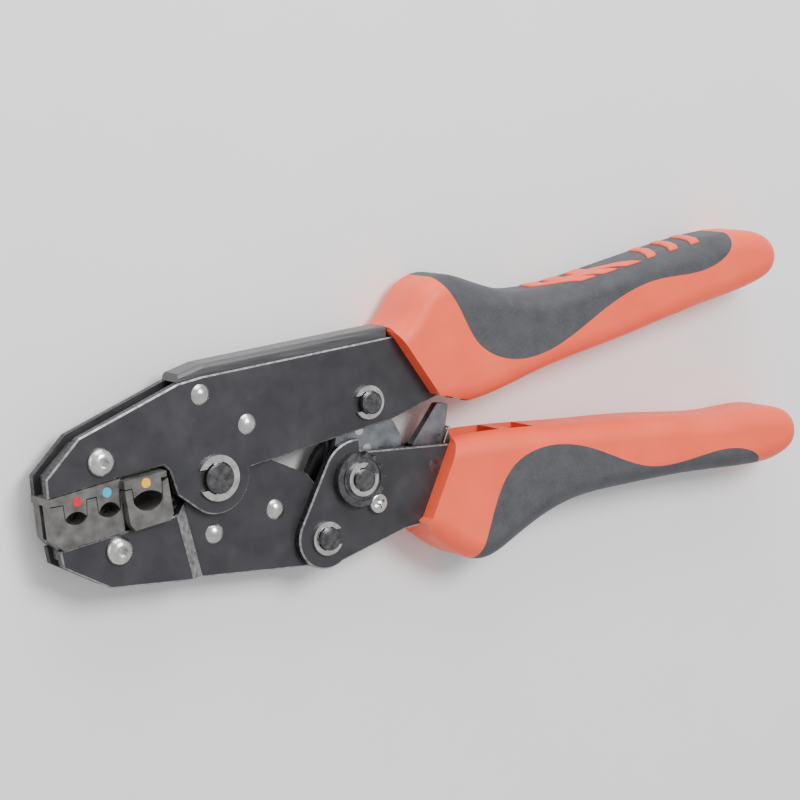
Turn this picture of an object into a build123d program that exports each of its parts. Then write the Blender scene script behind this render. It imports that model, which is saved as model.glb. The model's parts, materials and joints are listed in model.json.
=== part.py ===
from build123d import *
import os
from math import atan2, cos, radians, sin, tan

# Ratchet crimping tool with compound toggle action, three-nest dies for insulated terminals.
# Plan view is the XY plane: jaws towards -X, grips towards +X, fixed upper handle towards +Y.
# Z is the stacking direction of the plates. Profiles are drawn about the main jaw pivot.

# ---- Sheet metal stack ----
PLATE = 2.5                                # thickness of every stamped plate
SIDE_GAP = 0.1                             # side clearance of the middle layer
MIDDLE = PLATE                             # half thickness of the middle layer
FRAME_IN = MIDDLE + SIDE_GAP               # inner face of the frame and handle plates
FRAME_OUT = FRAME_IN + PLATE               # outer face of the frame and handle plates
JAW_SPREAD = 2.5                           # half gap between the lower jaw plates at the die
EDGE = 0.4                                 # edge break on the outer faces of the plates

# ---- Pivots, in plan, from the main jaw pivot ----
LINK_PIVOT = (46.7, 12.3)
TOGGLE_PIVOT = (41.8, -7.4)
HANDLE_PIVOT = (30.9, -21.7)
PAWL_PIVOT = (66.8, -8.1)
SPRING_ANCHOR = (65.5, -19.2)
MAIN_PIN_D = 8.0
SMALL_PIN_D = 6.0
PAWL_PIN_D = 4.4
ANCHOR_PIN_D = 3.5
RUN = 0.05                                 # radial running clearance of a pin
TOGGLE_PLAY = 0.8                          # radial play of the toggle pin in the link
PIN_HEAD = 1.3                             # height of the flat pin heads on the rear side

# ---- Retaining clips ----
CLIP_T = 1.0
MAIN_CLIP_D = 12.0
SMALL_CLIP_D = 9.0

# ---- Overall reach ----
JAW_REACH = 47.4                           # pivot to jaw tip
GRIP_REACH = 193.3                         # pivot to the end of the grips
GRIP_HALF = 10.0                           # half thickness of the grips
GRIP_ROUND = 5.5                           # edge rounding of the grips
CROWN_Y = 43.1                             # highest point of the upper grip
KEEL_Y = -36.4                             # lowest point of the lower grip

# ---- Dies ----
DIE_HALF = 5.2                             # half width of the narrow die heads
WIDE_DIE_HALF = 7.6                        # half width of the head with the largest nest
DIE_PLAY = 0.2                             # punch to cavity clearance
SEAT_SLOPE = 0.1                           # tilt of the die seats
DIE_SCREW_D = 4.0
DIE_SCREW_HEAD_D = 7.4
UPPER_SCREW = (-32.3, 9.5)
LOWER_SCREW = (-29.4, -13.6)

# ---- Rivets ----
RIVET_D = 4.0
RIVET_HEAD_D = 5.4
RIVET_DOME = 1.3
FRAME_RIVETS = [(-2.8, 22.0), (10.0, 12.3)]
JAW_RIVETS = [(17.7, -11.9), (-0.8, -14.9)]

# ---- Row frame: origin at the bottom centre of the bounding box ----
PIVOT_X = (JAW_REACH - GRIP_REACH) / 2
PIVOT_Y = -(CROWN_Y + KEEL_Y) / 2

os.makedirs("parts", exist_ok=True)


def layer(height):
    """Plan plane through the main pivot axis at a height above the middle of the stack."""
    return Plane(origin=(PIVOT_X, PIVOT_Y, GRIP_HALF + height))


def outer_edges(piece, side):
    """Edges of the plate face that looks outwards on the given side."""
    return piece.faces().sort_by(Axis.Z)[-1 if side > 0 else 0].edges()


def save(piece, label):
    """Label a finished piece and write it as its own file."""
    piece.part.label = label
    export_step(piece.part, f"parts/{label}.step")


def along(origin, angle, reach):
    """Point at a polar offset from an origin."""
    return (origin[0] + reach * cos(radians(angle)), origin[1] + reach * sin(radians(angle)))


def seat_y(x):
    """Height of the upper die seat."""
    return 2.6 + SEAT_SLOPE * (x + JAW_REACH)


def jaw_seat_y(x):
    """Height of the lower die seat."""
    return -11.1 + SEAT_SLOPE * (x + JAW_REACH)


SIDES = {"front": 1, "rear": -1}

# ---------------------------------------------------------------- upper frame plates
LOBE_R = 9.5                               # round lobe about the main pivot
TANG_END = 150.0                           # both handles' steel ends here, inside the grips
FRAME_FACE = [
    (-JAW_REACH, 7.6),
    (-37.6, 16.4),
    (-9.0, 25.7),
    (-2.0, 26.5),
    (57.3, 28.6),
    (72.0, 31.0),
    (92.0, 29.5),
    (112.0, 30.0),
    (TANG_END, 36.0),
    (TANG_END, 28.0),
    (112.0, 19.0),
    (92.0, 15.5),
    (78.0, 13.2),
    (67.8, 10.3),
    (54.0, 6.6),
    (9.0, 1.0),
    (0.0, 0.0),
    (-6.3, -7.1),
    (-11.5, -2.6),
    (-13.3, 4.2),
    (-14.8, 5.7),
    (-28.4, 4.9),
    (-28.4, seat_y(-28.4)),
    (-JAW_REACH, seat_y(-JAW_REACH)),
]


def frame_sketch_points(clearance):
    """Frame outline grown by a clearance, used for the plates and for the grip pocket."""
    with BuildSketch() as outline:
        with BuildLine():
            Polyline(*FRAME_FACE, close=True)
        make_face()
        Circle(LOBE_R)
        if clearance:
            offset(amount=clearance)
    return outline.sketch


for name, side in SIDES.items():
    with BuildPart() as frame_plate:
        with BuildSketch(layer(side * FRAME_IN)):
            add(frame_sketch_points(0))
        extrude(amount=side * PLATE)
        chamfer(outer_edges(frame_plate, side), EDGE)
        with BuildSketch(layer(side * FRAME_IN)):
            Circle(MAIN_PIN_D / 2)
            with Locations(LINK_PIVOT):
                Circle(SMALL_PIN_D / 2)
            with Locations(*FRAME_RIVETS):
                Circle(RIVET_D / 2)
            with Locations(UPPER_SCREW):
                Circle(DIE_SCREW_D / 2)
        extrude(amount=side * PLATE, mode=Mode.SUBTRACT)
    save(frame_plate, f"upper_frame_plate_{name}")

# ---------------------------------------------------------------- frame spacers and rivets
SPACER_D = 8.6
with BuildPart() as spacers:
    with BuildSketch(layer(-FRAME_IN)):
        with Locations(*FRAME_RIVETS):
            Circle(SPACER_D / 2)
            Circle(RIVET_D / 2, mode=Mode.SUBTRACT)
    extrude(amount=2 * FRAME_IN)
save(spacers, "frame_spacers")


def domed_rivets(label, places, half_grip):
    """Solid rivets with a low dome on both sides of a stack."""
    crown_r = ((RIVET_HEAD_D / 2) ** 2 + RIVET_DOME**2) / (2 * RIVET_DOME)
    with BuildPart() as rivets:
        with BuildSketch(layer(-half_grip)):
            with Locations(*places):
                Circle(RIVET_D / 2)
        extrude(amount=2 * half_grip)
        for place in places:
            for side in SIDES.values():
                top = half_grip + RIVET_DOME
                axis_x = PIVOT_X + place[0]
                axis_y = PIVOT_Y + place[1]
                plane = Plane(origin=(axis_x, axis_y, GRIP_HALF), x_dir=(1, 0, 0), z_dir=(0, -1, 0))
                with BuildSketch(plane):
                    with BuildLine():
                        Line((0, side * half_grip), (0, side * top))
                        RadiusArc((0, side * top), (RIVET_HEAD_D / 2, side * half_grip), side * crown_r)
                        Line((RIVET_HEAD_D / 2, side * half_grip), (0, side * half_grip))
                    make_face()
                revolve(axis=Axis((axis_x, axis_y, 0), (0, 0, 1)))
    save(rivets, label)


domed_rivets("upper_frame_rivets", FRAME_RIVETS, FRAME_OUT)
domed_rivets("lower_jaw_rivets", JAW_RIVETS, PLATE)

# ---------------------------------------------------------------- spine cover
COVER_HALF = 4.2                           # half width of the cap strip
COVER_RISE = 3.0                           # height of the cap over the plate edges
COVER_ROUND = 1.2
COVER_TONGUE = 3.0                         # depth of the rib between the plates
COVER_END = 54.5


def crown_y(x):
    """Top edge of the frame plates along the straight back."""
    return 26.5 + (28.6 - 26.5) * (x + 2.0) / (57.3 + 2.0)


with BuildPart() as cover:
    with BuildSketch(layer(-COVER_HALF)):
        with BuildLine():
            Polyline(
                (-8.6, 25.85),
                (-2.0, 26.52),
                (COVER_END, crown_y(COVER_END) + 0.02),
                (COVER_END, crown_y(COVER_END) + COVER_RISE),
                (-1.0, crown_y(-1.0) + COVER_RISE),
                (-8.0, 27.9),
                close=True,
            )
        make_face()
    extrude(amount=2 * COVER_HALF)
    ridge = cover.edges().filter_by(Plane.XY).sort_by(Axis.Y)[-6:]
    fillet([edge for edge in ridge if edge.length > 5], COVER_ROUND)
    with BuildSketch(layer(-FRAME_IN)):
        with BuildLine():
            Polyline(
                (-4.0, crown_y(-4.0) - COVER_TONGUE),
                (COVER_END - 4.0, crown_y(COVER_END) - COVER_TONGUE),
                (COVER_END - 4.0, crown_y(COVER_END) + 1.0),
                (-4.0, crown_y(-4.0) + 1.0),
                close=True,
            )
        make_face()
        with Locations(*FRAME_RIVETS):
            Circle(SPACER_D / 2 + SIDE_GAP, mode=Mode.SUBTRACT)
    extrude(amount=2 * FRAME_IN)
save(cover, "spine_cover")

# ---------------------------------------------------------------- lower jaw plates
JAW_HUB_R = 9.5
JAW_TAIL_R = 7.6
BEND = (-11.4, -15.0)                      # a point of the joggle line
BEND_ANGLE = 10.5                          # lean of the joggle line from the Y axis
RAMP = 4.2                                 # length of the joggle along the plate
BEND_R = 2.0                               # rounding of the joggle
BEND_INSET = PLATE * tan(atan2(JAW_SPREAD, RAMP) / 2)    # keeps the sheet thickness along the ramp
JAW_FACE = [
    (-45.4, jaw_seat_y(-45.4)),
    (-11.6, jaw_seat_y(-11.6)),
    (-8.2, -4.8),
    (0.0, 0.0),
    along((0, 0), 62, JAW_HUB_R),
    (17.9, 1.2),
    (28.2, -4.3),
    along(HANDLE_PIVOT, 35, JAW_TAIL_R),
    HANDLE_PIVOT,
    along(HANDLE_PIVOT, -97, JAW_TAIL_R),
    (-32.5, -22.8),
    (-44.9, -15.2),
]


def jaw_sheet_profile(side):
    """Section of one joggled jaw plate, across its bend line."""
    reach = 80.0
    ramp = [
        (-reach, JAW_SPREAD + PLATE),
        (0.0, JAW_SPREAD + PLATE),
        (RAMP, PLATE),
        (reach, PLATE),
        (reach, 0.0),
        (RAMP - BEND_INSET, 0.0),
        (-BEND_INSET, JAW_SPREAD),
        (-reach, JAW_SPREAD),
    ]
    return [(x, side * z) for x, z in ramp]


for name, side in SIDES.items():
    across = Vector(1, 0, 0).rotate(Axis.Z, BEND_ANGLE)
    down_line = Vector(0, -1, 0).rotate(Axis.Z, BEND_ANGLE)
    bend_origin = (PIVOT_X + BEND[0], PIVOT_Y + BEND[1], GRIP_HALF)
    section = Plane(origin=bend_origin, x_dir=across, z_dir=down_line)
    with BuildPart() as jaw_plate:
        with BuildSketch(section) as sheet:
            with BuildLine():
                Polyline(*jaw_sheet_profile(side), close=True)
            make_face()
            fillet(sheet.vertices().filter_by_position(Axis.X, -RAMP, 2 * RAMP), BEND_R)
        extrude(amount=60, both=True)
        with BuildSketch(layer(-2 * FRAME_OUT)):
            with BuildLine():
                Polyline(*JAW_FACE, close=True)
            make_face()
            Circle(JAW_HUB_R)
            with Locations(HANDLE_PIVOT):
                Circle(JAW_TAIL_R)
        extrude(amount=4 * FRAME_OUT, mode=Mode.INTERSECT)
        flat_edges = outer_edges(jaw_plate, side)
        chamfer([edge for edge in flat_edges if edge.center().X < bend_origin[0] - RAMP], EDGE)
        with BuildSketch(layer(-2 * FRAME_OUT)):
            Circle(MAIN_PIN_D / 2 + RUN)
            with Locations(HANDLE_PIVOT):
                Circle(SMALL_PIN_D / 2 + RUN)
            with Locations(*JAW_RIVETS):
                Circle(RIVET_D / 2)
            with Locations(LOWER_SCREW):
                Circle(DIE_SCREW_D / 2)
        extrude(amount=4 * FRAME_OUT, mode=Mode.SUBTRACT)
    save(jaw_plate, f"lower_jaw_plate_{name}")

# ---------------------------------------------------------------- dies
DRAFT = 0.3                                # widening of a cavity from its floor to its mouth
NARROW_END = -27.4                         # where the narrow head meets the wide one
RED = {"x": -40.35, "half": 2.9, "corner": -3.1, "roof": -1.6, "floor": -4.9}
BLUE = {"x": -31.15, "half": 2.9, "corner": -3.0, "roof": -0.8, "floor": -4.6}
YELLOW = {"x": -21.35, "half": 3.9, "corner": -0.6, "roof": 0.8, "floor": -4.4}
REAR_FLOOR_LIFT = 0.7                      # the rear profile squeezes less
GROOVE_FRONT = 0.3
GROOVE_REAR = -1.7


def punch(nest, root_y):
    """Face of one punch: tapered sides and a concave roof."""
    half = nest["half"]
    with BuildSketch() as face:
        with BuildLine():
            Polyline(
                (nest["x"] - half, nest["corner"]),
                (nest["x"] - half - DRAFT, root_y),
                (nest["x"] + half + DRAFT, root_y),
                (nest["x"] + half, nest["corner"]),
            )
            ThreePointArc(
                (nest["x"] + half, nest["corner"]),
                (nest["x"], nest["roof"]),
                (nest["x"] - half, nest["corner"]),
            )
        make_face()
    return face.sketch


def cavity(nest, mouth_y, floor_y):
    """Face of one cavity: tapered sides and a rounded floor."""
    half = nest["half"] + DIE_PLAY
    shoulder = nest["corner"] - (1.2 if nest is YELLOW else 0.1)
    with BuildSketch() as face:
        with BuildLine():
            Polyline(
                (nest["x"] - half, shoulder),
                (nest["x"] - half - DRAFT, mouth_y),
                (nest["x"] + half + DRAFT, mouth_y),
                (nest["x"] + half, shoulder),
            )
            ThreePointArc(
                (nest["x"] + half, shoulder),
                (nest["x"], floor_y),
                (nest["x"] - half, shoulder),
            )
        make_face()
    return face.sketch


SEAT_FIT = 0.05
TONGUE_FIT = 0.02
with BuildPart() as upper_die:
    with BuildSketch(layer(-DIE_HALF)):
        with BuildLine():
            Polyline(
                (-JAW_REACH, seat_y(-JAW_REACH) - SEAT_FIT),
                (-JAW_REACH, 0.7),
                (-43.8, 0.7),
                (-37.3, 1.1),
                (-34.6, 1.2),
                (-28.0, 1.6),
                (-27.9, 1.95),
                (NARROW_END, 1.95),
                (NARROW_END, seat_y(NARROW_END) - SEAT_FIT),
                close=True,
            )
        make_face()
        add(punch(RED, 1.3))
        add(punch(BLUE, 1.6))
    extrude(amount=2 * DIE_HALF)
    with BuildSketch(layer(-WIDE_DIE_HALF)):
        with BuildLine():
            Polyline(
                (-27.6, 4.1),
                (-27.6, 1.95),
                (-26.1, 2.0),
                (-17.3, 2.4),
                (-17.3, 3.4),
                (-15.6, 3.45),
                (-15.6, 4.9),
                close=True,
            )
        make_face()
        add(punch(YELLOW, 2.4))
    extrude(amount=2 * WIDE_DIE_HALF)
    with BuildSketch(layer(TONGUE_FIT - FRAME_IN)):
        with BuildLine():
            Polyline((-45.5, 2.4), (-17.5, 4.2), (-17.5, 12.5), (-20.0, 14.5), (-37.0, 14.5), (-45.5, 7.4), close=True)
        make_face()
        with Locations(UPPER_SCREW):
            Circle(DIE_SCREW_D / 2, mode=Mode.SUBTRACT)
    extrude(amount=2 * (FRAME_IN - TONGUE_FIT))
save(upper_die, "upper_die")

with BuildPart() as lower_die:
    for low, high, lift in ((-DIE_HALF, GROOVE_REAR, REAR_FLOOR_LIFT), (GROOVE_FRONT, DIE_HALF, 0.0)):
        with BuildSketch(layer(low)):
            with BuildLine():
                Polyline(
                    (-46.9, 0.45),
                    (-46.6, -8.4),
                    (-44.6, jaw_seat_y(-44.6) + SEAT_FIT),
                    (NARROW_END, jaw_seat_y(NARROW_END) + SEAT_FIT),
                    (NARROW_END, 1.2),
                    (-37.6, 0.8),
                    (-43.0, 0.45),
                    close=True,
                )
            make_face()
            add(cavity(RED, 1.5, RED["floor"] + lift), mode=Mode.SUBTRACT)
            add(cavity(BLUE, 1.7, BLUE["floor"] + lift), mode=Mode.SUBTRACT)
        extrude(amount=high - low)
    with BuildSketch(layer(GROOVE_REAR)):
        with BuildLine():
            Polyline(
                (-46.6, -8.4),
                (-44.6, jaw_seat_y(-44.6) + SEAT_FIT),
                (NARROW_END, jaw_seat_y(NARROW_END) + SEAT_FIT),
                (NARROW_END, -7.6),
                close=True,
            )
        make_face()
    extrude(amount=GROOVE_FRONT - GROOVE_REAR)
    with BuildSketch(layer(-WIDE_DIE_HALF)):
        with BuildLine():
            Polyline(
                (-27.6, 1.65),
                (-26.9, -6.9),
                (-25.6, jaw_seat_y(-25.6) + SEAT_FIT),
                (-15.6, jaw_seat_y(-15.6) + SEAT_FIT),
                (-14.6, -6.3),
                (-15.4, 3.05),
                (-17.3, 2.1),
                close=True,
            )
        make_face()
        add(cavity(YELLOW, 3.1, YELLOW["floor"]), mode=Mode.SUBTRACT)
    extrude(amount=2 * WIDE_DIE_HALF)
    with BuildSketch(layer(TONGUE_FIT - JAW_SPREAD)):
        with BuildLine():
            Polyline((-44.0, -10.0), (-44.0, -14.0), (-33.0, -20.0), (-17.0, -18.5), (-16.0, -7.0), close=True)
        make_face()
        with Locations(LOWER_SCREW):
            Circle(DIE_SCREW_D / 2, mode=Mode.SUBTRACT)
    extrude(amount=2 * (JAW_SPREAD - TONGUE_FIT))
save(lower_die, "lower_die")

# Painted marks in the front face of the upper die, one by each nest.
MARK_D = 2.5
MARK_T = 0.08
MARKS = {
    "red_nest_mark": ((-39.7, 0.85), DIE_HALF),
    "blue_nest_mark": ((-31.4, 1.75), DIE_HALF),
    "yellow_nest_mark": ((-21.6, 2.75), WIDE_DIE_HALF),
}
for label, (place, face) in MARKS.items():
    with BuildPart() as mark:
        with BuildSketch(layer(face)):
            with Locations(place):
                Circle(MARK_D / 2)
        extrude(amount=MARK_T)
    save(mark, label)

# ---------------------------------------------------------------- die screws and nuts
SCREW_DOME = 2.2
HEX_KEY = 2.5
NUT_AF = 7.0
NUT_H = 2.4
for label, place, face in (("upper_die", UPPER_SCREW, FRAME_OUT), ("lower_die", LOWER_SCREW, JAW_SPREAD + PLATE)):
    axis_x = PIVOT_X + place[0]
    axis_y = PIVOT_Y + place[1]
    plane = Plane(origin=(axis_x, axis_y, GRIP_HALF), x_dir=(1, 0, 0), z_dir=(0, -1, 0))
    with BuildPart() as screw:
        with BuildSketch(plane):
            with BuildLine():
                head_r = DIE_SCREW_HEAD_D / 2
                Polyline(
                    (0, face + SCREW_DOME),
                    (0, -face - NUT_H),
                    (DIE_SCREW_D / 2, -face - NUT_H),
                    (DIE_SCREW_D / 2, face),
                    (head_r, face),
                    (head_r, face + 0.5),
                )
                ThreePointArc(
                    (head_r, face + 0.5),
                    (head_r * 0.78, face + SCREW_DOME * 0.74),
                    (head_r * 0.45, face + SCREW_DOME),
                )
                Line((head_r * 0.45, face + SCREW_DOME), (0, face + SCREW_DOME))
            make_face()
        revolve(axis=Axis((axis_x, axis_y, 0), (0, 0, 1)))
        with BuildSketch(layer(face + SCREW_DOME)):
            with Locations(place):
                RegularPolygon(HEX_KEY / 2, 6, major_radius=False)
        extrude(amount=-SCREW_DOME * 0.75, mode=Mode.SUBTRACT)
    save(screw, f"{label}_screw")
    with BuildPart() as nut:
        with BuildSketch(layer(-face)):
            with Locations(place):
                RegularPolygon(NUT_AF / 2, 6, major_radius=False)
                Circle(DIE_SCREW_D / 2, mode=Mode.SUBTRACT)
        extrude(amount=-NUT_H)
    save(nut, f"{label}_nut")

# ---------------------------------------------------------------- pivot pins and their clips
TIP_CHAMFER = 0.4


def clipped_pin(label, place, diameter, clip_z, tip_z):
    """Headed pin with a groove for a retaining clip."""
    with BuildPart() as pin:
        with BuildSketch(layer(-FRAME_OUT - PIN_HEAD)):
            with Locations(place):
                Circle(diameter / 2 + 1.3)
        extrude(amount=PIN_HEAD)
        with BuildSketch(layer(-FRAME_OUT)):
            with Locations(place):
                Circle(diameter / 2)
        extrude(amount=FRAME_OUT + clip_z)
        with BuildSketch(layer(clip_z)):
            with Locations(place):
                Circle(diameter * 0.37)
        extrude(amount=CLIP_T)
        with BuildSketch(layer(clip_z + CLIP_T)):
            with Locations(place):
                Circle(diameter / 2)
        extrude(amount=tip_z - clip_z - CLIP_T)
        chamfer(pin.faces().sort_by(Axis.Z)[-1].edges(), TIP_CHAMFER)
        chamfer(pin.faces().sort_by(Axis.Z)[0].edges(), TIP_CHAMFER)
    save(pin, label)


def retaining_clip(label, place, clip_d, pin_d, clip_z, mouth):
    """E-shaped clip that snaps into the groove of a pin, with its mouth at an angle."""
    groove_r = pin_d * 0.37
    ring_r = clip_d * 0.36
    with BuildPart() as clip:
        with BuildSketch(layer(clip_z)):
            with Locations(place):
                Circle(clip_d / 2)
                Circle(ring_r, mode=Mode.SUBTRACT)
            for lug in (90, 180, 270):
                with Locations(along(place, mouth + lug, (groove_r + ring_r) / 2 + 0.2)):
                    Rectangle(ring_r - groove_r + 0.4, clip_d * 0.2, rotation=mouth + lug)
            with Locations(place):
                Circle(groove_r, mode=Mode.SUBTRACT)
            with Locations(along(place, mouth, clip_d / 2)):
                Rectangle(clip_d, groove_r * 1.9, rotation=mouth, mode=Mode.SUBTRACT)
        extrude(amount=CLIP_T)
    save(clip, label)


WHEEL_T = 2.2
WHEEL_BASE = FRAME_OUT + 0.05
WHEEL_TOP = WHEEL_BASE + WHEEL_T
PINS = {
    "main": ((0, 0), MAIN_PIN_D, MAIN_CLIP_D, FRAME_OUT, FRAME_OUT + CLIP_T + 1.1, 180),
    "link": (LINK_PIVOT, SMALL_PIN_D, SMALL_CLIP_D, FRAME_OUT, FRAME_OUT + CLIP_T + 1.7, 180),
    "handle": (HANDLE_PIVOT, SMALL_PIN_D, SMALL_CLIP_D, FRAME_OUT, FRAME_OUT + CLIP_T + 1.7, 0),
    "toggle": (TOGGLE_PIVOT, SMALL_PIN_D, SMALL_CLIP_D, WHEEL_TOP, WHEEL_TOP + CLIP_T + 1.2, 40),
}
for name, (place, pin_d, clip_d, clip_z, tip_z, mouth) in PINS.items():
    clipped_pin(f"{name}_pivot_pin", place, pin_d, clip_z, tip_z)
    retaining_clip(f"{name}_pin_clip", place, clip_d, pin_d, clip_z, mouth)

# ---------------------------------------------------------------- toggle link and ratchet sector
LINK_T = 1.4
SECTOR_HALF = MIDDLE - LINK_T
LINK_TOP_R = 6.6
LINK_FOOT_R = 6.9
LINK_RIVETS = [(44.9, 4.6), (47.0, -0.6)]
LINK_RIVET_D = 2.5
for name, side in SIDES.items():
    with BuildPart() as link:
        with BuildSketch(layer(side * SECTOR_HALF)):
            with Locations(LINK_PIVOT):
                Circle(LINK_TOP_R)
            with Locations(TOGGLE_PIVOT):
                Circle(LINK_FOOT_R)
            make_hull()
            with Locations(LINK_PIVOT):
                Circle(SMALL_PIN_D / 2 + RUN, mode=Mode.SUBTRACT)
            with Locations(TOGGLE_PIVOT):
                Circle(SMALL_PIN_D / 2 + TOGGLE_PLAY, mode=Mode.SUBTRACT)
            with Locations(*LINK_RIVETS):
                Circle(LINK_RIVET_D / 2, mode=Mode.SUBTRACT)
        extrude(amount=side * LINK_T)
    save(link, f"toggle_link_{name}")

TOOTH_TIP_R = 17.9
TOOTH_ROOT_R = 16.5
TEETH = 12
TEETH_FROM = -7.0
TEETH_TO = -41.0
SPRING_LUG = (42.3, -24.5)
SPRING_LUG_R = 2.2
LUG_HOLE_R = 0.9
with BuildPart() as sector:
    with BuildSketch(layer(-SECTOR_HALF)):
        pitch = (TEETH_TO - TEETH_FROM) / TEETH
        rack = []
        for tooth in range(TEETH):
            start = TEETH_FROM + tooth * pitch
            rack.append(along(TOGGLE_PIVOT, start, TOOTH_ROOT_R))
            rack.append(along(TOGGLE_PIVOT, start + 0.75 * pitch, TOOTH_TIP_R))
        with BuildLine():
            Polyline(
                along(LINK_PIVOT, 200, 5.8),
                along(LINK_PIVOT, 20, 5.8),
                (58.8, 0.9),
                (58.6, -1.2),
                along(TOGGLE_PIVOT, 4, TOOTH_ROOT_R),
                *rack,
                along(TOGGLE_PIVOT, TEETH_TO, TOOTH_ROOT_R),
                (43.7, -22.8),
                (40.5, -22.8),
                along(TOGGLE_PIVOT, 190, 6.5),
                close=True,
            )
        make_face()
        with Locations(LINK_PIVOT):
            Circle(5.8)
        with Locations(TOGGLE_PIVOT):
            Circle(6.5)
        with Locations(SPRING_LUG):
            Circle(SPRING_LUG_R)
            Circle(LUG_HOLE_R, mode=Mode.SUBTRACT)
        with Locations(LINK_PIVOT):
            Circle(SMALL_PIN_D / 2 + RUN, mode=Mode.SUBTRACT)
        with Locations(TOGGLE_PIVOT):
            Circle(SMALL_PIN_D / 2 + TOGGLE_PLAY, mode=Mode.SUBTRACT)
        with Locations(*LINK_RIVETS):
            Circle(LINK_RIVET_D / 2, mode=Mode.SUBTRACT)
    extrude(amount=2 * SECTOR_HALF)
save(sector, "ratchet_sector")

with BuildPart() as link_rivets:
    with BuildSketch(layer(-MIDDLE)):
        with Locations(*LINK_RIVETS):
            Circle(LINK_RIVET_D / 2)
    extrude(amount=2 * MIDDLE)
save(link_rivets, "link_rivets")

# ---------------------------------------------------------------- lower handle plates
HANDLE_R = 8.3
LOBE_TOP_R = 10.4
HANDLE_FACE = [
    HANDLE_PIVOT,
    TOGGLE_PIVOT,
    (45.7, -0.8),
    (71.0, -3.1),
    (90.0, -6.3),
    (120.0, -10.2),
    (TANG_END, -13.5),
    (TANG_END, -20.3),
    (120.0, -20.3),
    (100.0, -21.5),
    (84.0, -25.0),
    (61.8, -23.4),
    (55.5, -23.8),
    (33.4, -29.2),
]
LOBE_STEP = [(43.3, 6.0), (43.3, 0.0), (45.7, -0.8), (71.0, -3.1), (71.0, 6.0)]
LOCK_SCREW = along(TOGGLE_PIVOT, -56, 9.1)
LOCK_SCREW_D = 3.0


def handle_sketch(clearance):
    """Handle outline grown by a clearance, used for the plates and for the grip pocket."""
    with BuildSketch() as outline:
        with Locations(HANDLE_PIVOT):
            Circle(HANDLE_R)
        with Locations(TOGGLE_PIVOT):
            Circle(LOBE_TOP_R)
        make_hull()
        with BuildLine():
            Polyline(*LOBE_STEP, close=True)
        make_face(mode=Mode.SUBTRACT)
        with BuildLine():
            Polyline(*HANDLE_FACE, close=True)
        make_face()
        if clearance:
            offset(amount=clearance)
    return outline.sketch


for name, side in SIDES.items():
    with BuildPart() as handle_plate:
        with BuildSketch(layer(side * FRAME_IN)):
            add(handle_sketch(0))
        extrude(amount=side * PLATE)
        chamfer(outer_edges(handle_plate, side), EDGE)
        with BuildSketch(layer(side * FRAME_IN)):
            with Locations(HANDLE_PIVOT, TOGGLE_PIVOT):
                Circle(SMALL_PIN_D / 2)
            with Locations(PAWL_PIVOT):
                Circle(PAWL_PIN_D / 2)
            with Locations(SPRING_ANCHOR):
                Circle(ANCHOR_PIN_D / 2)
            if side > 0:
                with Locations(LOCK_SCREW):
                    Circle(LOCK_SCREW_D / 2)
        extrude(amount=side * PLATE, mode=Mode.SUBTRACT)
    save(handle_plate, f"handle_plate_{name}")

# ---------------------------------------------------------------- adjusting wheel and its lock screw
WHEEL_R = 7.4
SCALLOPS = [87, 60, 35, 10, -17]
SCALLOP_R = 1.5
LOCK_HEAD_D = 5.4
LOCK_HEAD_H = 1.9
with BuildPart() as wheel:
    with BuildSketch(layer(WHEEL_BASE)):
        with Locations(TOGGLE_PIVOT):
            Circle(WHEEL_R)
        with Locations(*[along(TOGGLE_PIVOT, angle, WHEEL_R) for angle in SCALLOPS]):
            Circle(SCALLOP_R, mode=Mode.SUBTRACT)
        with Locations(LOCK_SCREW):
            Circle(LOCK_HEAD_D / 2 + SIDE_GAP, mode=Mode.SUBTRACT)
        with Locations(TOGGLE_PIVOT):
            Circle(SMALL_PIN_D / 2, mode=Mode.SUBTRACT)
    extrude(amount=WHEEL_T)
    with BuildSketch(layer(WHEEL_TOP)):
        with Locations(TOGGLE_PIVOT):
            Circle(5.9)
            Circle(5.4, mode=Mode.SUBTRACT)
    extrude(amount=-0.3, mode=Mode.SUBTRACT)
save(wheel, "adjusting_wheel")

with BuildPart() as lock_screw:
    with BuildSketch(layer(FRAME_IN)):
        with Locations(LOCK_SCREW):
            Circle(LOCK_SCREW_D / 2)
    extrude(amount=PLATE)
    with BuildSketch(layer(FRAME_OUT)):
        with Locations(LOCK_SCREW):
            Circle(LOCK_HEAD_D / 2)
    extrude(amount=LOCK_HEAD_H)
    fillet(lock_screw.faces().sort_by(Axis.Z)[-1].edges(), 0.7)
    with BuildSketch(layer(FRAME_OUT + LOCK_HEAD_H)):
        with Locations(LOCK_SCREW):
            Rectangle(3.2, 0.8, rotation=25)
            Rectangle(0.8, 3.2, rotation=25)
    extrude(amount=-1.1, mode=Mode.SUBTRACT)
save(lock_screw, "adjuster_lock_screw")

# ---------------------------------------------------------------- release pawl
PAWL_HALF = 1.2
PAWL_CORNER = 0.9
with BuildPart() as pawl:
    with BuildSketch(layer(-PAWL_HALF)) as pawl_face:
        with BuildLine():
            Polyline(
                (62.2, -2.2),
                (71.0, 7.7),
                (74.6, 7.2),
                (73.2, 1.0),
                (74.9, -2.6),
                (73.0, -10.0),
                (70.2, -13.0),
                (66.6, -12.6),
                (62.6, -10.2),
                (60.9, -7.9),
                (62.0, -6.4),
                close=True,
            )
        make_face()
        fillet(pawl_face.vertices().filter_by_position(Axis.Y, 5, 9), PAWL_CORNER)
        with Locations(PAWL_PIVOT):
            Circle(PAWL_PIN_D / 2 + RUN, mode=Mode.SUBTRACT)
    extrude(amount=2 * PAWL_HALF)
save(pawl, "release_pawl")

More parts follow.
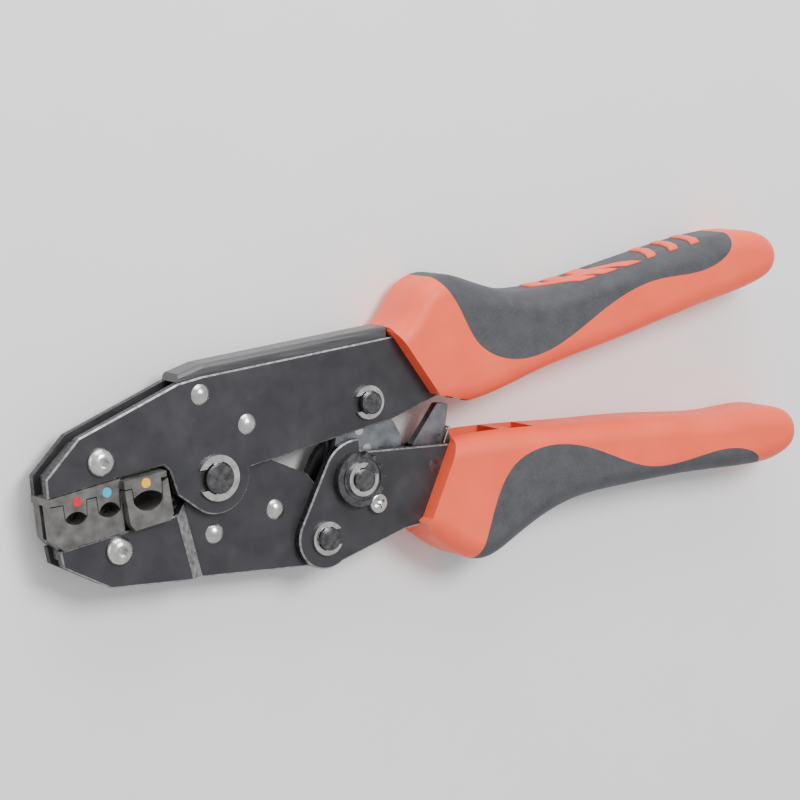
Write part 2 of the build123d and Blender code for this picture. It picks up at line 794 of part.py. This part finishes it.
# ---------------------------------------------------------------- flush pins in the handle
for label, place, diameter in (
    ("pawl_pivot_pin", PAWL_PIVOT, PAWL_PIN_D),
    ("spring_anchor_pin", SPRING_ANCHOR, ANCHOR_PIN_D),
):
    with BuildPart() as flush_pin:
        with BuildSketch(layer(-FRAME_OUT)):
            with Locations(place):
                Circle(diameter / 2)
        extrude(amount=2 * FRAME_OUT)
    save(flush_pin, label)

# ---------------------------------------------------------------- springs
WIRE_D = 0.7
COIL_R = 1.35
HOOK_R = 1.6
ANCHOR_LOOP_R = ANCHOR_PIN_D / 2 + WIRE_D / 2 + RUN
lug = layer(0).from_local_coords(Vector(*SPRING_LUG))
anchor = layer(0).from_local_coords(Vector(*SPRING_ANCHOR))
pull = (anchor - lug).normalized()
coil_from = lug + pull * (2 * HOOK_R)
coil_to = anchor - pull * ANCHOR_LOOP_R
coil_length = (coil_to - coil_from).length
with BuildPart() as return_spring:
    with BuildLine() as coil_path:
        Helix(pitch=1.2 * WIRE_D, height=coil_length, radius=COIL_R, center=coil_from, direction=pull)
    with BuildSketch(Plane(origin=coil_path.line @ 0, z_dir=coil_path.line % 0)):
        Circle(WIRE_D / 2)
    sweep(path=coil_path.line, is_frenet=True)
    with BuildSketch(Plane(origin=lug + pull * HOOK_R + Vector(0, 0, HOOK_R), x_dir=(0, 0, 1), z_dir=pull)):
        Circle(WIRE_D / 2)
    revolve(axis=Axis(lug + pull * HOOK_R, pull.cross(Vector(0, 0, 1))))
    with BuildSketch(Plane(origin=anchor + pull * ANCHOR_LOOP_R, x_dir=(0, 0, 1), z_dir=(pull.Y, -pull.X, 0))):
        Circle(WIRE_D / 2)
    revolve(axis=Axis(anchor, (0, 0, 1)))
    for end in (coil_from, coil_to):
        with BuildSketch(Plane(origin=end - Vector(0, 0, WIRE_D / 2), z_dir=(0, 0, 1))):
            Circle(WIRE_D / 2)
        extrude(amount=COIL_R + WIRE_D)
save(return_spring, "return_spring")

PAWL_WIRE_D = 0.55
PAWL_COIL_R = PAWL_PIN_D / 2 + PAWL_WIRE_D
PAWL_COIL_RISE = 0.62
PAWL_LEG_END = (73.65, 0.8)
coil_base = PAWL_HALF + PAWL_WIRE_D / 2 + RUN
coil_top = coil_base + PAWL_COIL_RISE
coil_start = layer(coil_base).from_local_coords(Vector(PAWL_PIVOT[0] + PAWL_COIL_R, PAWL_PIVOT[1]))
coil_end = coil_start + Vector(0, 0, PAWL_COIL_RISE)
rest_x = SPRING_ANCHOR[0] + ANCHOR_PIN_D / 2 + PAWL_WIRE_D / 2
leg_on_pin = layer(coil_base).from_local_coords(Vector(rest_x, SPRING_ANCHOR[1]))
leg_on_pawl = layer(coil_top).from_local_coords(Vector(*PAWL_LEG_END))
with BuildPart() as pawl_spring:
    with BuildLine(Plane(origin=layer(coil_base).from_local_coords(Vector(*PAWL_PIVOT)))) as pawl_coil:
        Helix(pitch=PAWL_COIL_RISE, height=PAWL_COIL_RISE, radius=PAWL_COIL_R)
    with BuildSketch(Plane(origin=pawl_coil.line @ 0, z_dir=pawl_coil.line % 0)):
        Circle(PAWL_WIRE_D / 2)
    sweep(path=pawl_coil.line, is_frenet=True)
    for start, end in ((coil_start, leg_on_pin), (coil_end, leg_on_pawl)):
        with BuildSketch(Plane(origin=start, z_dir=end - start)):
            Circle(PAWL_WIRE_D / 2)
        extrude(amount=(end - start).length)
    with BuildSketch(Plane(origin=leg_on_pawl + Vector(0, 0, PAWL_WIRE_D / 2))):
        Circle(PAWL_WIRE_D / 2)
    extrude(amount=-coil_top)
save(pawl_spring, "pawl_spring")

# ---------------------------------------------------------------- grips
POCKET_FIT = 0.05
TANG_FIT = 0.1
UPPER_RIM = [
    (55.0, 31.0),
    (60.0, 35.2),
    (65.0, 40.9),
    (71.0, 43.1),
    (80.0, 40.8),
    (93.0, 36.1),
    (108.0, 35.0),
    (125.0, 36.9),
    (150.0, 40.6),
    (171.0, 42.5),
    (183.4, 40.8),
    (187.4, 38.0),
    (188.8, 33.6),
    (186.7, 29.2),
    (182.2, 27.0),
    (163.0, 23.4),
    (130.0, 17.4),
    (100.0, 12.1),
    (84.0, 8.4),
    (70.0, 7.6),
    (57.0, 10.0),
    (48.0, 16.5),
    (47.5, 25.0),
]
LOWER_RIM = [
    (64.0, -28.2),
    (70.5, -33.2),
    (79.0, -36.4),
    (88.0, -33.6),
    (98.0, -29.0),
    (110.0, -25.5),
    (128.0, -24.6),
    (152.0, -25.0),
    (174.0, -26.5),
    (187.4, -25.4),
    (191.7, -22.8),
    (193.3, -18.3),
    (191.6, -13.8),
    (187.2, -11.3),
    (168.0, -9.8),
    (142.0, -6.8),
    (112.0, -4.0),
    (78.0, -1.2),
    (62.0, -4.0),
    (54.5, -15.0),
    (56.0, -23.0),
]
UPPER_FRONT = [
    (40.0, 36.0),
    (55.1, 36.0),
    (55.1, 29.9),
    (66.6, 11.6),
    (78.5, 7.9),
    (60.0, 0.0),
    (40.0, 0.0),
]
LOWER_FRONT = [
    (73.0, 2.0),
    (71.6, -2.6),
    (61.4, -21.4),
    (59.9, -22.4),
    (64.0, -28.6),
    (50.0, -28.6),
    (45.0, 2.0),
]
UPPER_SEAM = [
    (66.9, 46.0),
    (68.7, 43.3),
    (74.6, 34.2),
    (80.0, 23.8),
    (90.0, 17.9),
    (103.9, 18.5),
    (125.6, 28.2),
    (142.7, 32.8),
    (161.9, 33.8),
    (169.2, 37.6),
    (170.4, 46.0),
]
LOWER_SEAM = [
    (73.2, -39.0),
    (78.3, -30.4),
    (82.5, -20.5),
    (89.2, -11.4),
    (101.2, -8.0),
    (119.3, -12.7),
    (136.0, -19.8),
    (152.0, -20.2),
    (168.9, -20.1),
    (177.0, -24.4),
    (178.5, -29.0),
]


def grip_body(rim, front):
    """Moulded grip before it is split: a rounded bar cut off square at the front."""
    with BuildPart() as body:
        with BuildSketch(layer(-GRIP_HALF)):
            with BuildLine():
                Spline(*rim, periodic=True)
            make_face()
        extrude(amount=2 * GRIP_HALF)
        fillet(body.edges().filter_by(Plane.XY), GRIP_ROUND)
        with BuildSketch(layer(-GRIP_HALF)):
            with BuildLine():
                Polyline(*front, close=True)
            make_face()
        extrude(amount=2 * GRIP_HALF, mode=Mode.SUBTRACT)
    return body.part


def plate_pocket(outline, rib_from):
    """Room for the steel tangs, with a rib of the grip left between them behind rib_from."""
    with BuildPart() as pocket:
        for side in SIDES.values():
            with BuildSketch(layer(side * (FRAME_IN - POCKET_FIT))):
                add(outline)
            extrude(amount=side * (PLATE + 2 * POCKET_FIT))
        with BuildSketch(layer(-FRAME_IN)):
            add(outline)
            with Locations((rib_from, 0)):
                Rectangle(200, 200, align=(Align.MIN, Align.CENTER), mode=Mode.SUBTRACT)
        extrude(amount=2 * FRAME_IN)
    return pocket.part


def slot(box_from, box_to, half):
    """Straight cutter through the middle of a grip."""
    with BuildPart() as cutter:
        with BuildSketch(layer(-half)):
            with Locations(((box_from[0] + box_to[0]) / 2, (box_from[1] + box_to[1]) / 2)):
                Rectangle(box_to[0] - box_from[0], box_to[1] - box_from[1])
        extrude(amount=2 * half)
    return cutter.part


GRIPS = {
    "upper": {
        "body": grip_body(UPPER_RIM, UPPER_FRONT),
        "pocket": plate_pocket(frame_sketch_points(TANG_FIT), 86.0),
        "seam": UPPER_SEAM,
        "slots": [((60.0, 4.0), (80.0, 12.4), 1.8)],
    },
    "lower": {
        "body": grip_body(LOWER_RIM, LOWER_FRONT),
        "pocket": plate_pocket(handle_sketch(TANG_FIT), 101.0),
        "seam": LOWER_SEAM,
        "slots": [
            ((60.0, -12.0), (88.0, 2.0), FRAME_OUT + POCKET_FIT),
            ((91.5, -12.0), (99.5, 2.0), FRAME_OUT + POCKET_FIT),
        ],
    },
}
for name, grip in GRIPS.items():
    with BuildPart() as hollow:
        add(grip["body"])
        add(grip["pocket"], mode=Mode.SUBTRACT)
        for box_from, box_to, half in grip["slots"]:
            add(slot(box_from, box_to, half), mode=Mode.SUBTRACT)
    with BuildPart() as seam:
        with BuildSketch(layer(-2 * GRIP_HALF)):
            with BuildLine():
                Spline(*grip["seam"])
                Line(grip["seam"][-1], grip["seam"][0])
            make_face()
        extrude(amount=4 * GRIP_HALF)
    with BuildPart() as shell:
        add(hollow.part)
        add(seam.part, mode=Mode.SUBTRACT)
    save(shell, f"{name}_grip")
    with BuildPart() as overmould:
        add(hollow.part)
        add(seam.part, mode=Mode.INTERSECT)
    save(overmould, f"{name}_grip_overmould")
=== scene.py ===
"""Looks of the ratchet crimping tool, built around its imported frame."""
import json
from math import cos, radians, sin

import bmesh
import bpy
from mathutils import Matrix, Vector


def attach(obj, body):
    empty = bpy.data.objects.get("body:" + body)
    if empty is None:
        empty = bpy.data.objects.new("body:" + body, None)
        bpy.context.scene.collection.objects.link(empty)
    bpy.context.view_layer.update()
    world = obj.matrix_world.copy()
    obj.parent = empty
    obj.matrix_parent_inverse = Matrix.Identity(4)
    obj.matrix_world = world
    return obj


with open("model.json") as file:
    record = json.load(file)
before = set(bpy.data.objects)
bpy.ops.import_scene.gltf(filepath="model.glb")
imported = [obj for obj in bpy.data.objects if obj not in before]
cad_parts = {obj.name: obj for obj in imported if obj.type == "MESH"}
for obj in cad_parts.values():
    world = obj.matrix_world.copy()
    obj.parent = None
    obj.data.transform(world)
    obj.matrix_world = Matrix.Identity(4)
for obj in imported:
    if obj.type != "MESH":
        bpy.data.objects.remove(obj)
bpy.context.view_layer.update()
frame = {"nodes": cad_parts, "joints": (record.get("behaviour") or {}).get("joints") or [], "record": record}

# ---- Places: plan positions in mm from the main jaw pivot, heights from the middle of the stack ----
MM = 0.001
JOINTS = {joint["name"]: joint for joint in frame["joints"]}
PIVOT = Vector(JOINTS["main_pivot"]["pos_m"])


def at(x, y, z=0.0):
    """Point in metres from a place in mm relative to the main pivot."""
    return PIVOT + Vector((x, y, z)) * MM


# ---------------------------------------------------------------- node helpers
def new_material(name, color, roughness, metallic=0.0, specular=0.5):
    """Principled material with its uniform values on the shader's own sockets."""
    material = bpy.data.materials.new(name)
    material.use_nodes = True
    shader = material.node_tree.nodes["Principled BSDF"]
    shader.inputs["Base Color"].default_value = (*color, 1.0)
    shader.inputs["Roughness"].default_value = roughness
    shader.inputs["Metallic"].default_value = metallic
    shader.inputs["Specular IOR Level"].default_value = specular
    return material


def add_node(material, kind, **values):
    """Adds a node and sets the named inputs or properties."""
    node = material.node_tree.nodes.new(kind)
    for key, value in values.items():
        if key in node.inputs:
            node.inputs[key].default_value = value
        else:
            setattr(node, key, value)
    return node


def link(material, source, target):
    material.node_tree.links.new(source, target)


def noise(material, size_mm, detail=2.0, stretch=(1.0, 1.0, 1.0)):
    """Noise in object space with grains of about size_mm."""
    coords = add_node(material, "ShaderNodeTexCoord")
    mapping = add_node(material, "ShaderNodeMapping", Scale=stretch)
    texture = add_node(material, "ShaderNodeTexNoise", Scale=1.0 / (size_mm * MM), Detail=detail)
    link(material, coords.outputs["Object"], mapping.inputs["Vector"])
    link(material, mapping.outputs["Vector"], texture.inputs["Vector"])
    return texture.outputs["Fac"]


def ramp(material, value, low, high, from_low=0.3, from_high=0.7):
    """Maps a value to the span low..high."""
    node = add_node(material, "ShaderNodeMapRange")
    node.inputs["From Min"].default_value = from_low
    node.inputs["From Max"].default_value = from_high
    node.inputs["To Min"].default_value = low
    node.inputs["To Max"].default_value = high
    link(material, value, node.inputs["Value"])
    return node.outputs["Result"]


def mix_color(material, factor, first, second):
    """Mixes two colours by a factor socket; a colour is a tuple or a socket."""
    node = add_node(material, "ShaderNodeMix", data_type="RGBA")
    link(material, factor, node.inputs["Factor"])
    for socket, value in ((node.inputs["A"], first), (node.inputs["B"], second)):
        slot = [s for s in node.inputs if s.name == socket.name and s.type == "RGBA"][0]
        if isinstance(value, tuple):
            slot.default_value = (*value, 1.0)
        else:
            link(material, value, slot)
    return [s for s in node.outputs if s.type == "RGBA"][0]


def mottle(material, value, low_color, high_color):
    """Blends two colours over the middle span of a noise."""
    return mix_color(material, ramp(material, value, 0.0, 1.0), low_color, high_color)


def set_color(material, socket):
    link(material, socket, material.node_tree.nodes["Principled BSDF"].inputs["Base Color"])


def set_roughness(material, socket):
    link(material, socket, material.node_tree.nodes["Principled BSDF"].inputs["Roughness"])


def bump(material, layers):
    """Chains bump nodes; each layer is a height socket, a strength and a depth in mm."""
    normal = None
    for height, strength, depth in layers:
        node = add_node(material, "ShaderNodeBump", Strength=strength, Distance=depth * MM)
        link(material, height, node.inputs["Height"])
        if normal is not None:
            link(material, normal, node.inputs["Normal"])
        normal = node.outputs["Normal"]
    link(material, normal, material.node_tree.nodes["Principled BSDF"].inputs["Normal"])


UPRIGHT_LIMIT = 0.3
TILT_MIDDLE = 0.6
TILT_SPAN = 0.3


def slope_mask(material):
    """Two masks by a face's tilt: the plates' sloped edge breaks, which get wear and a painted highlight,
    and their upright sides, which get painted shade.
    """
    geometry = add_node(material, "ShaderNodeNewGeometry")
    split = add_node(material, "ShaderNodeSeparateXYZ")
    link(material, geometry.outputs["True Normal"], split.inputs["Vector"])
    tilt = add_node(material, "ShaderNodeMath", operation="ABSOLUTE")
    link(material, split.outputs["Z"], tilt.inputs[0])
    inside = add_node(material, "ShaderNodeMath", operation="COMPARE")
    link(material, tilt.outputs[0], inside.inputs[0])
    inside.inputs[1].default_value = TILT_MIDDLE
    inside.inputs[2].default_value = TILT_SPAN
    upright = add_node(material, "ShaderNodeMath", operation="LESS_THAN")
    link(material, tilt.outputs[0], upright.inputs[0])
    upright.inputs[1].default_value = UPRIGHT_LIMIT
    return inside.outputs[0], upright.outputs[0]


# ---------------------------------------------------------------- materials
def plate_steel():
    """Black oxide on stamped plate: satin faces, broken edges brightened by wear and a painted highlight,
    and streaky sheared sides darkened by painted shade.
    """
    material = new_material("plate_steel", (0.05, 0.05, 0.055), 0.42, metallic=0.75)
    edge, side = slope_mask(material)
    cloud = noise(material, 9.0, detail=4.0)
    face = mottle(material, cloud, (0.048, 0.048, 0.054), (0.072, 0.071, 0.078))
    streak = noise(material, 0.5, detail=2.0, stretch=(1.0, 1.0, 0.15))
    # Upright sides get streaky shear marks, which are real, and a darker tone, which is painted shade.
    sheared_and_shade = mottle(material, streak, (0.02, 0.02, 0.022), (0.075, 0.075, 0.08))
    # Sloped edge breaks turn light grey: partly real wear through the oxide, partly a painted highlight.
    wear_and_highlight = mottle(material, noise(material, 1.5), (0.16, 0.16, 0.165), (0.42, 0.42, 0.43))
    color = mix_color(material, side, face, sheared_and_shade)
    set_color(material, mix_color(material, edge, color, wear_and_highlight))
    set_roughness(material, ramp(material, noise(material, 4.0, detail=3.0), 0.36, 0.5))
    bump(material, [(noise(material, 0.18, detail=2.0), 0.35, 0.02), (streak, 0.15, 0.03)])
    return material


def die_steel():
    """Phosphated die: warm matt grey with fine milling lines."""
    material = new_material("die_steel", (0.14, 0.135, 0.13), 0.5, metallic=0.7)
    cloud = noise(material, 3.0, detail=5.0)
    face = mottle(material, cloud, (0.1, 0.096, 0.093), (0.19, 0.183, 0.176))
    set_color(material, face)
    set_roughness(material, ramp(material, cloud, 0.42, 0.6))
    lines = noise(material, 0.25, detail=1.0, stretch=(1.0, 0.08, 1.0))
    bump(material, [(lines, 0.25, 0.03), (noise(material, 0.12), 0.2, 0.01)])
    return material


def bright_nickel():
    """Nickel plate with light tarnish and turning marks."""
    material = new_material("bright_nickel", (0.62, 0.61, 0.6), 0.24, metallic=1.0)
    cloud = noise(material, 2.2, detail=4.0)
    set_color(material, mottle(material, cloud, (0.46, 0.455, 0.45), (0.74, 0.735, 0.73)))
    set_roughness(material, ramp(material, noise(material, 0.8, detail=3.0), 0.17, 0.34))
    bump(material, [(noise(material, 0.3), 0.12, 0.015)])
    return material


def link_steel():
    """Bare hardened steel of the toggle link, sector and pawl, with a blue cast."""
    material = new_material("link_steel", (0.2, 0.21, 0.23), 0.34, metallic=0.9)
    cloud = noise(material, 3.5, detail=4.0)
    set_color(material, mottle(material, cloud, (0.15, 0.16, 0.18), (0.27, 0.28, 0.3)))
    set_roughness(material, ramp(material, noise(material, 1.0, detail=3.0), 0.27, 0.42))
    bump(material, [(noise(material, 0.35, detail=1.0, stretch=(1.0, 0.1, 1.0)), 0.2, 0.02)])
    return material


def pin_steel():
    """Blackened turned pins with rings left by the lathe."""
    material = new_material("pin_steel", (0.09, 0.09, 0.095), 0.35, metallic=0.9)
    cloud = noise(material, 1.6, detail=3.0)
    set_color(material, mottle(material, cloud, (0.06, 0.06, 0.064), (0.15, 0.15, 0.155)))
    set_roughness(material, ramp(material, noise(material, 0.7), 0.28, 0.44))
    bump(material, [(noise(material, 0.2), 0.25, 0.02)])
    return material


def red_shell():
    """Spark-eroded orange-red shell plastic with a very fine grain."""
    material = new_material("red_shell", (0.92, 0.105, 0.045), 0.48, specular=0.35)
    cloud = noise(material, 14.0, detail=3.0)
    set_color(material, mottle(material, cloud, (0.88, 0.095, 0.04), (0.96, 0.118, 0.052)))
    set_roughness(material, ramp(material, noise(material, 3.0, detail=3.0), 0.42, 0.54))
    bump(material, [(noise(material, 0.28, detail=2.0), 0.25, 0.04), (noise(material, 6.0), 0.1, 0.12)])
    return material


def black_overmould():
    """Soft dark grey overmould with a visible leathery grain whose crests carry a painted highlight."""
    material = new_material("black_overmould", (0.05, 0.05, 0.055), 0.62, specular=0.4)
    cloud = noise(material, 5.0, detail=5.0)
    grain = noise(material, 0.42, detail=3.0)
    base = mottle(material, cloud, (0.046, 0.046, 0.052), (0.066, 0.067, 0.075))
    # The grain's crests are painted lighter: a painted highlight on the raised grain.
    crest_highlight = ramp(material, grain, 0.0, 0.45, from_low=0.45, from_high=0.75)
    set_color(material, mix_color(material, crest_highlight, base, (0.11, 0.11, 0.12)))
    set_roughness(material, ramp(material, grain, 0.52, 0.72))
    bump(material, [(grain, 0.55, 0.09), (noise(material, 0.15), 0.3, 0.03)])
    return material


def cover_strip():
    """Moulded dark cap strip, smooth on top with faint scuffs along it."""
    material = new_material("cover_strip", (0.07, 0.07, 0.076), 0.38, metallic=0.35)
    scuff = noise(material, 1.2, detail=3.0, stretch=(0.08, 1.0, 1.0))
    set_color(material, mottle(material, scuff, (0.055, 0.055, 0.06), (0.1, 0.1, 0.106)))
    set_roughness(material, ramp(material, scuff, 0.3, 0.46))
    bump(material, [(noise(material, 0.2), 0.2, 0.02)])
    return material


def spring_wire():
    """Drawn spring wire."""
    material = new_material("spring_wire", (0.5, 0.5, 0.5), 0.25, metallic=1.0)
    streak = noise(material, 0.3, detail=2.0)
    set_color(material, mottle(material, streak, (0.36, 0.36, 0.37), (0.6, 0.6, 0.61)))
    set_roughness(material, ramp(material, streak, 0.2, 0.34))
    bump(material, [(streak, 0.15, 0.01)])
    return material


def paint(name, light, dark):
    """Dab of enamel in a shallow dimple, uneven in tone."""
    material = new_material(name, light, 0.35)
    blotch = noise(material, 0.9, detail=3.0)
    set_color(material, mottle(material, blotch, light, dark))
    set_roughness(material, ramp(material, blotch, 0.28, 0.45))
    bump(material, [(noise(material, 0.7), 0.35, 0.05)])
    return material


def floor_paper():
    """Pale studio paper with a barely visible tooth."""
    material = new_material("floor_paper", (0.86, 0.86, 0.86), 0.85, specular=0.1)
    tooth = noise(material, 30.0, detail=4.0)
    set_color(material, mottle(material, tooth, (0.85, 0.85, 0.85), (0.87, 0.87, 0.87)))
    return material


FINISHES = {
    "blackened_steel": plate_steel(),
    "die_steel": die_steel(),
    "nickel": bright_nickel(),
    "link_steel": link_steel(),
    "spring_steel": spring_wire(),
    "red_plastic": red_shell(),
    "black_elastomer": black_overmould(),
    "cover_plastic": cover_strip(),
    "red_paint": paint("red_enamel", (0.62, 0.02, 0.035), (0.42, 0.012, 0.02)),
    "blue_paint": paint("blue_enamel", (0.02, 0.48, 0.7), (0.015, 0.34, 0.52)),
    "yellow_paint": paint("yellow_enamel", (0.9, 0.5, 0.02), (0.72, 0.36, 0.015)),
}
TURNED_PINS = ["main_pivot_pin", "link_pivot_pin", "handle_pivot_pin", "toggle_pivot_pin", "pawl_pivot_pin",
               "spring_anchor_pin", "adjusting_wheel", "frame_spacers"]
SLOTS = {entry["node"]: entry["material_slot"] for entry in frame["record"]["subparts"]}


def dress_nodes():
    """Gives every CAD node its finish."""
    pins = pin_steel()
    for name, node in frame["nodes"].items():
        finish = pins if name in TURNED_PINS else FINISHES[SLOTS[name]]
        for slot in node.material_slots:
            slot.material = finish
        if not node.material_slots:
            node.data.materials.append(finish)


dress_nodes()


# ---------------------------------------------------------------- mesh helpers
def new_piece(name, mesh_builder, finish, body, smooth=True):
    """Makes an object from a bmesh, gives it a finish and lets it ride on a body."""
    mesh = bpy.data.meshes.new(name)
    mesh_builder.to_mesh(mesh)
    mesh_builder.free()
    piece = bpy.data.objects.new(name, mesh)
    bpy.context.scene.collection.objects.link(piece)
    mesh.materials.append(finish)
    for polygon in mesh.polygons:
        polygon.use_smooth = smooth
    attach(piece, body)
    return piece


# ---------------------------------------------------------------- red bars in the upper overmould's back
BAR_LIFT = 0.12
RIM_SINK = 0.1
BAR_THICKNESS = 0.8
BAR_ROWS = 22
BAR_COLUMNS = 5
BAR_CURVE = 1.15
FRONT_BARS = [(107.5, 120.3), (114.5, 128.0), (122.5, 136.2)]
REAR_BARS = [(145.6, 142.8), (153.3, 150.7), (160.6, 158.4)]
FRONT_BAR_WIDTH = 5.2
REAR_BAR_WIDTH = 3.0
LOWEST = radians(-35)
FRONT_TOP = radians(52)
REAR_TOP = radians(50)
AXIS_START = (105.0, 28.5)
AXIS_SLOPE = 0.115
RAY_REACH = 14.0


def surface_point(node, x, angle, centre_y):
    """Point of a node's skin met by a ray that comes in square to the grip's axis."""
    centre = at(x, centre_y, 0.0)
    outward = Vector((0.0, cos(angle), sin(angle)))
    start = centre + outward * RAY_REACH * MM
    hit, place, normal, _ = node.ray_cast(start, -outward)
    return (place, normal) if hit else None


def back_height(x):
    """Height of the axis that the bars' rays aim at, under the grip's back."""
    return AXIS_START[1] + (x - AXIS_START[0]) * AXIS_SLOPE


def bar(name, from_x, to_x, width, low_angle, high_angle):
    """One red bar that wraps over the back, as a thin curved pad let into the overmould."""
    node = frame["nodes"]["upper_grip_overmould"]
    builder = bmesh.new()
    grid = []
    for row in range(BAR_ROWS + 1):
        share = row / BAR_ROWS
        angle = low_angle + (high_angle - low_angle) * share
        front_share = max(0.0, angle / high_angle)
        middle_x = from_x + (to_x - from_x) * front_share ** BAR_CURVE
        line = []
        for column in range(BAR_COLUMNS + 1):
            x = middle_x + width * (column / BAR_COLUMNS - 0.5)
            found = surface_point(node, x, angle, back_height(x))
            if found is None:
                builder.free()
                return None
            place, normal = found
            rim = row in (0, BAR_ROWS) or column in (0, BAR_COLUMNS)
            lift = -RIM_SINK if rim else BAR_LIFT
            line.append(builder.verts.new(place + normal * lift * MM))
        grid.append(line)
    for row in range(BAR_ROWS):
        for column in range(BAR_COLUMNS):
            near = grid[row][column:column + 2]
            far = grid[row + 1][column:column + 2]
            builder.faces.new((near[0], near[1], far[1], far[0]))
    bmesh.ops.recalc_face_normals(builder, faces=builder.faces)
    piece = new_piece(name, builder, FINISHES["red_plastic"], "upper_frame")
    thick = piece.modifiers.new("depth", "SOLIDIFY")
    thick.thickness = BAR_THICKNESS * MM
    thick.offset = 0.0
    return piece


def grip_bars():
    for index, (from_x, to_x) in enumerate(FRONT_BARS):
        bar(f"front_bar_{index + 1}", from_x, to_x, FRONT_BAR_WIDTH, LOWEST, FRONT_TOP)
    for index, (from_x, to_x) in enumerate(REAR_BARS):
        bar(f"rear_bar_{index + 1}", from_x, to_x, REAR_BAR_WIDTH, LOWEST, REAR_TOP)


grip_bars()


# ---------------------------------------------------------------- stage
FLOOR_SIZE = 3.0
FLOOR_DROP = 0.0002
WORLD_LIGHT = 0.75
VIEW_DIRECTION = Vector((-0.528, 0.173, 0.832)).normalized()
UP_HINT = Vector((0.087, 0.996, 0.0))
AIM = at(56.88, 11.22, 5.0)
DISTANCE = 0.6771
LENS = 114.3
SENSOR_WIDTH = 36.0
CLIP_START = 0.01


def studio():
    """Pale floor that the tool lies on, and an even white surround."""
    builder = bmesh.new()
    bmesh.ops.create_grid(builder, x_segments=4, y_segments=4, size=FLOOR_SIZE)
    mesh = bpy.data.meshes.new("floor")
    builder.to_mesh(mesh)
    builder.free()
    floor = bpy.data.objects.new("floor", mesh)
    bpy.context.scene.collection.objects.link(floor)
    floor.location = (0.0, 0.0, -FLOOR_DROP)
    mesh.materials.append(floor_paper())
    world = bpy.data.worlds.new("studio")
    world.use_nodes = True
    background = world.node_tree.nodes["Background"]
    background.inputs["Color"].default_value = (1.0, 1.0, 1.0, 1.0)
    background.inputs["Strength"].default_value = WORLD_LIGHT
    bpy.context.scene.world = world


def view_axes():
    """Right, up and backward axes of the camera."""
    up = (UP_HINT - VIEW_DIRECTION * UP_HINT.dot(VIEW_DIRECTION)).normalized()
    return up.cross(VIEW_DIRECTION), up, VIEW_DIRECTION


def camera():
    """Camera at the product shot's angle."""
    right, up, back = view_axes()
    data = bpy.data.cameras.new("camera")
    data.lens = LENS
    data.sensor_width = SENSOR_WIDTH
    data.clip_start = CLIP_START
    eye = bpy.data.objects.new("camera", data)
    bpy.context.scene.collection.objects.link(eye)
    turn = Matrix((right, up, back)).transposed().to_4x4()
    eye.matrix_world = Matrix.Translation(AIM + back * DISTANCE) @ turn
    bpy.context.scene.camera = eye


def area_light(name, place, size, power):
    """Soft square light that faces the tool."""
    data = bpy.data.lights.new(name, "AREA")
    data.size = size
    data.energy = power
    lamp = bpy.data.objects.new(name, data)
    bpy.context.scene.collection.objects.link(lamp)
    lamp.location = place
    lamp.rotation_euler = (AIM - place).to_track_quat("-Z", "Y").to_euler()


def lights():
    """A key from the upper right, a broad light from above and a weak fill from the left."""
    right, up, back = view_axes()
    area_light("key", AIM + right * 0.55 + up * 0.35 + back * 0.75, 0.35, 9.0)
    area_light("top", AIM + up * 0.8 + back * 0.35, 0.7, 7.0)
    area_light("left_fill", AIM - right * 0.9 + up * 0.1 + back * 0.4, 0.8, 4.0)


studio()
camera()
lights()
